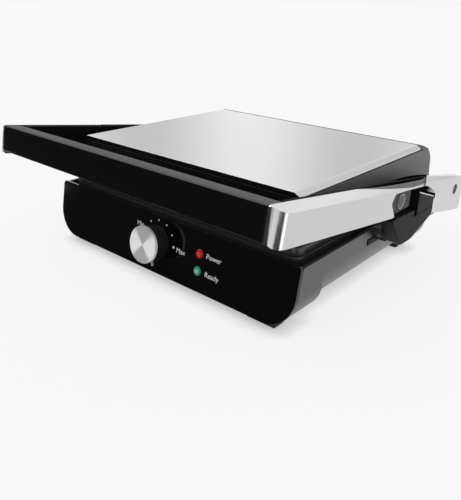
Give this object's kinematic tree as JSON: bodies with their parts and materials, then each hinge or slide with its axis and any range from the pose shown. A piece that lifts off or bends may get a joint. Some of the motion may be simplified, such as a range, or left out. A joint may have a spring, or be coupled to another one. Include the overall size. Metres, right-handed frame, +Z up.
{
  "type": "contact grill",
  "caption": "Countertop contact grill: ribbed plates in a hinged floating lid and a base, front handle bar on two side arms, thermostat knob and indicator lamps on a leaning panel.",
  "frame": {"origin": "centre of the bounding box at the table, under the feet", "axes": "+X to the user's right across the grill, +Y from the front panel to the rear hinge, +Z up"},
  "size_m": [0.374, 0.3414, 0.1361],
  "materials": {
    "housing": "satin gloss moulded black",
    "gloss_panel": "high gloss black",
    "moulding": "matt moulded black",
    "satin_black": "satin black",
    "cast_silver": "satin silver cast",
    "brushed_steel": "brushed",
    "sheet_steel": "plain zinc plated",
    "coated_plate": "dark non-stick coating",
    "heater": "dull heated steel",
    "terminal": "plain white",
    "rubber": "matt",
    "red_lens": "clear tinted",
    "green_lens": "clear tinted"
  },
  "bodies": {
    "base": {"base_housing": "housing", "base_deck": "moulding", "lower_grill_plate": "coated_plate", "lower_heating_element": "heater", "lower_heat_shield": "sheet_steel", "cord_gland": "rubber", "terminal_block": "terminal", "front_left_foot": "rubber", "front_right_foot": "rubber", "rear_left_foot": "rubber", "rear_right_foot": "rubber", "front_panel": "gloss_panel", "thermostat_body": "moulding", "power_lamp_lens": "red_lens", "ready_lamp_lens": "green_lens", "lamp_holder": "moulding", "side_bracket_right": "moulding", "side_bracket_left": "moulding", "side_trim_right": "cast_silver", "side_trim_left": "cast_silver", "side_cover_right": "satin_black", "side_cover_left": "satin_black", "hinge_lug_right": "moulding", "hinge_lug_left": "moulding", "hinge_pin_right": "sheet_steel", "hinge_pin_left": "sheet_steel"},
    "arms": {"handle_bar": "gloss_panel", "arm_right": "cast_silver", "arm_left": "cast_silver", "arm_liner_right": "satin_black", "arm_liner_left": "satin_black", "pivot_cap_right": "sheet_steel", "pivot_cap_left": "sheet_steel", "handle_pin_right": "sheet_steel", "handle_pin_left": "sheet_steel"},
    "lid": {"lid_housing": "housing", "lid_top_panel": "brushed_steel", "lid_pivot_stud_right": "sheet_steel", "lid_pivot_stud_left": "sheet_steel", "upper_grill_plate": "coated_plate", "upper_heating_element": "heater", "upper_heat_shield": "sheet_steel"},
    "knob": {"knob_body": "satin_black", "knob_cap": "brushed_steel", "thermostat_shaft": "sheet_steel"},
    "latch": {"latch_lever": "satin_black"},
    "lower_button": {"lower_plate_button": "satin_black"},
    "upper_button": {"upper_plate_button": "satin_black"},
    "tray": {"drip_tray": "moulding"}
  },
  "joints": [
    {"name": "arm_hinge", "type": "hinge", "parent": "base", "child": "arms", "pos_m": [0, 0.14971, 0.071], "axis": [-1, 0, 0], "range_deg": [0, 178]},
    {"name": "lid_pivot", "type": "hinge", "parent": "arms", "child": "lid", "pos_m": [0, 0.02071, 0.091], "axis": [-1, 0, 0], "range_deg": [0, 2.01]},
    {"name": "knob_turn", "type": "hinge", "parent": "base", "child": "knob", "pos_m": [-0.0015, -0.11287, 0.03807], "axis": [0, 0.9792, -0.2028], "range_deg": [0, 266]},
    {"name": "latch_slide", "type": "slide", "parent": "base", "child": "latch", "axis": [0, -1, 0], "range_m": [0, 0.006]},
    {"name": "lower_button_press", "type": "slide", "parent": "base", "child": "lower_button", "axis": [-1, 0, 0], "range_m": [0, 0.003], "stiffness_N_per_m": 300},
    {"name": "upper_button_press", "type": "slide", "parent": "lid", "child": "upper_button", "axis": [1, 0, 0], "range_m": [0, 0.002], "stiffness_N_per_m": 300},
    {"name": "drip_tray_slide", "type": "slide", "parent": "base", "child": "tray", "axis": [0, 1, 0], "range_m": [0, 0.125]}
  ],
  "couplings": [
    {"joint": "lid_pivot", "follows": "arm_hinge", "ratio": 0.011236}
  ]
}
